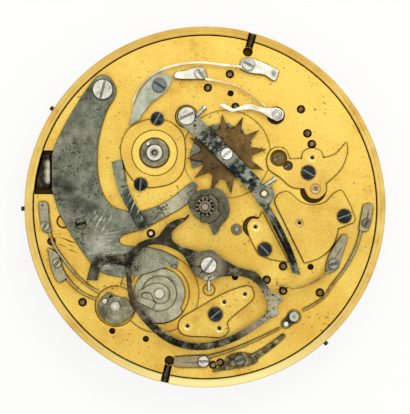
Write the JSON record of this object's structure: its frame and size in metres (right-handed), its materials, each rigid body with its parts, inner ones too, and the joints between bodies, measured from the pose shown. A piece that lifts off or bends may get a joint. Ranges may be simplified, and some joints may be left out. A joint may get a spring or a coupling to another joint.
{
  "type": "pocket watch movement",
  "caption": "Round brass repeating pocket watch movement, dial side up, with repeating lever, star and snail, quarter rack, springs, going train, balance, hammers and gongs.",
  "frame": {"origin": "centre of the main plate on its dial face", "axes": "+Z out of the dial face towards the viewer of the picture, +X to the picture's right, +Y to the picture's top"},
  "size_m": [0.0457, 0.0452, 0.0113],
  "materials": {
    "gilt_brass": "gilt, fine matte with worn edges",
    "yellow_brass": "turned",
    "grey_steel": "grey, lightly pitted",
    "polished_steel": "polished",
    "black_steel": "black polish",
    "brown_bronze": "brown patina"
  },
  "bodies": {
    "frame": {"plate": "gilt_brass", "case_ring": "yellow_brass", "barrel_cap": "gilt_brass", "repeat_bridge_front": "gilt_brass", "third_bridge": "gilt_brass", "fourth_bridge": "gilt_brass", "chariot": "gilt_brass", "barrel_bridge": "gilt_brass", "train_bridge": "gilt_brass", "escape_cock": "gilt_brass", "balance_cock": "gilt_brass", "repeat_bridge": "gilt_brass", "repeat_drum": "yellow_brass", "front_screws": "black_steel", "back_screws": "black_steel", "spring_screws": "polished_steel", "pivot_screws": "grey_steel", "plate_pins": "grey_steel", "rim_pins": "black_steel", "lever_spring": "grey_steel", "left_trip_spring": "grey_steel", "detent_spring": "grey_steel", "jumper_spring": "grey_steel", "rack_spring": "grey_steel", "right_trip_spring": "grey_steel", "hammer_spring": "grey_steel", "bottom_spring": "grey_steel", "gong_block": "grey_steel", "gongs": "black_steel", "lever_keeper": "grey_steel", "hairspring": "black_steel"},
    "lever": {"repeat_lever": "grey_steel"},
    "pusher": {"push_piece": "grey_steel"},
    "pulley": {"chain_pulley": "grey_steel"},
    "bar": {"all_or_nothing": "grey_steel", "star_stud": "polished_steel"},
    "star": {"star_wheel": "brown_bronze", "hour_snail": "grey_steel"},
    "jumper": {"star_jumper": "polished_steel"},
    "detent": {"detent": "grey_steel"},
    "rack": {"quarter_rack": "black_steel"},
    "cannon": {"cannon_pinion": "grey_steel", "quarter_snail": "black_steel", "star_driver": "grey_steel"},
    "barrel": {"barrel": "gilt_brass", "barrel_lid": "yellow_brass", "mainspring": "black_steel"},
    "winding": {"barrel_arbor": "polished_steel"},
    "centre": {"centre_wheel": "gilt_brass"},
    "third": {"third_wheel": "gilt_brass"},
    "fourth": {"fourth_wheel": "gilt_brass"},
    "escape": {"escape_wheel": "grey_steel"},
    "balance": {"balance": "gilt_brass"},
    "hour_hammer": {"hour_hammer": "grey_steel"},
    "quarter_hammer": {"quarter_hammer": "grey_steel"},
    "great": {"repeat_great_wheel": "gilt_brass"},
    "second": {"repeat_second_wheel": "gilt_brass"},
    "repeat_third": {"repeat_third_wheel": "gilt_brass"},
    "repeat_fourth": {"repeat_fourth_wheel": "gilt_brass"},
    "fly": {"fly": "gilt_brass"}
  },
  "joints": [
    {"name": "lever_turn", "type": "hinge", "parent": "frame", "child": "lever", "pos_m": [-0.01275, 0.01465, 0], "axis": [0, 0, 1], "range_deg": [0, 10.5]},
    {"name": "push_slide", "type": "slide", "parent": "frame", "child": "pusher", "axis": [1, 0, 0], "range_m": [0, 0.0015]},
    {"name": "pulley_turn", "type": "hinge", "parent": "frame", "child": "pulley", "pos_m": [-0.0057, -0.0108, 0], "axis": [0, 0, 1], "range_deg": [-84, 0]},
    {"name": "bar_turn", "type": "hinge", "parent": "frame", "child": "bar", "pos_m": [-0.0023, 0.0113, 0], "axis": [0, 0, -1], "range_deg": [0, 0.9]},
    {"name": "star_turn", "type": "hinge", "parent": "bar", "child": "star", "pos_m": [0.0027, 0.0066, 0], "axis": [0, 0, 1], "range_deg": [-360, 360]},
    {"name": "jumper_turn", "type": "hinge", "parent": "frame", "child": "jumper", "pos_m": [0.009, 0.0115, 0], "axis": [0, 0, 1], "range_deg": [0, 4]},
    {"name": "detent_turn", "type": "hinge", "parent": "frame", "child": "detent", "pos_m": [-0.0057, 0.01515, 0], "axis": [0, 0, 1], "range_deg": [0, 8]},
    {"name": "rack_turn", "type": "hinge", "parent": "frame", "child": "rack", "pos_m": [0.00045, -0.0072, 0], "axis": [0, 0, -1], "range_deg": [0, 8]},
    {"name": "escape_turn", "type": "hinge", "parent": "frame", "child": "escape", "pos_m": [0.0138, 0.00225, 0], "axis": [0, 0, 1], "continuous": true},
    {"name": "fourth_turn", "type": "hinge", "parent": "frame", "child": "fourth", "pos_m": [0.0118, -0.002, 0], "axis": [0, 0, 1], "continuous": true},
    {"name": "third_turn", "type": "hinge", "parent": "frame", "child": "third", "pos_m": [0.0063, -0.0025, 0], "axis": [0, 0, 1], "continuous": true},
    {"name": "centre_turn", "type": "hinge", "parent": "frame", "child": "centre", "pos_m": [0, 0, 0], "axis": [0, 0, 1], "continuous": true},
    {"name": "barrel_turn", "type": "hinge", "parent": "frame", "child": "barrel", "pos_m": [-0.0063, 0.00675, 0], "axis": [0, 0, 1], "continuous": true},
    {"name": "hand_setting", "type": "hinge", "parent": "centre", "child": "cannon", "pos_m": [0, 0, 0], "axis": [0, 0, 1], "range_deg": [-360, 360]},
    {"name": "winding_turn", "type": "hinge", "parent": "frame", "child": "winding", "pos_m": [-0.0063, 0.00675, 0], "axis": [0, 0, 1], "continuous": true},
    {"name": "balance_swing", "type": "hinge", "parent": "frame", "child": "balance", "pos_m": [0.0134, 0.00615, 0], "axis": [0, 0, 1], "range_deg": [-130, 130], "deforming": ["hairspring"]},
    {"name": "hour_hammer_turn", "type": "hinge", "parent": "frame", "child": "hour_hammer", "pos_m": [-0.0112, -0.0124, 0], "axis": [0, 0, -1], "range_deg": [0, 12]},
    {"name": "quarter_hammer_turn", "type": "hinge", "parent": "frame", "child": "quarter_hammer", "pos_m": [0.0111, -0.0137, 0], "axis": [0, 0, 1], "range_deg": [0, 12]},
    {"name": "fly_turn", "type": "hinge", "parent": "frame", "child": "fly", "pos_m": [0.005, -0.0109, 0], "axis": [0, 0, 1], "continuous": true},
    {"name": "repeat_fourth_turn", "type": "hinge", "parent": "frame", "child": "repeat_fourth", "pos_m": [0.0024, -0.0119, 0], "axis": [0, 0, 1], "continuous": true},
    {"name": "repeat_third_turn", "type": "hinge", "parent": "frame", "child": "repeat_third", "pos_m": [0.0018, -0.0152, 0], "axis": [0, 0, 1], "continuous": true},
    {"name": "second_turn", "type": "hinge", "parent": "frame", "child": "second", "pos_m": [-0.0022, -0.0149, 0], "axis": [0, 0, 1], "continuous": true},
    {"name": "great_turn", "type": "hinge", "parent": "frame", "child": "great", "pos_m": [-0.0057, -0.0108, 0], "axis": [0, 0, 1], "continuous": true}
  ],
  "couplings": [
    {"joint": "push_slide", "follows": "lever_turn", "m_per_rad": 0.0082},
    {"joint": "pulley_turn", "follows": "lever_turn", "ratio": -8},
    {"joint": "fourth_turn", "follows": "escape_turn", "ratio": -0.125},
    {"joint": "third_turn", "follows": "escape_turn", "ratio": 0.016667},
    {"joint": "centre_turn", "follows": "escape_turn", "ratio": -0.0016667},
    {"joint": "barrel_turn", "follows": "escape_turn", "ratio": 0.0002381},
    {"joint": "repeat_fourth_turn", "follows": "fly_turn", "ratio": -0.2},
    {"joint": "repeat_third_turn", "follows": "fly_turn", "ratio": 0.033333},
    {"joint": "second_turn", "follows": "fly_turn", "ratio": -0.0055556},
    {"joint": "great_turn", "follows": "fly_turn", "ratio": 0.00074074}
  ]
}
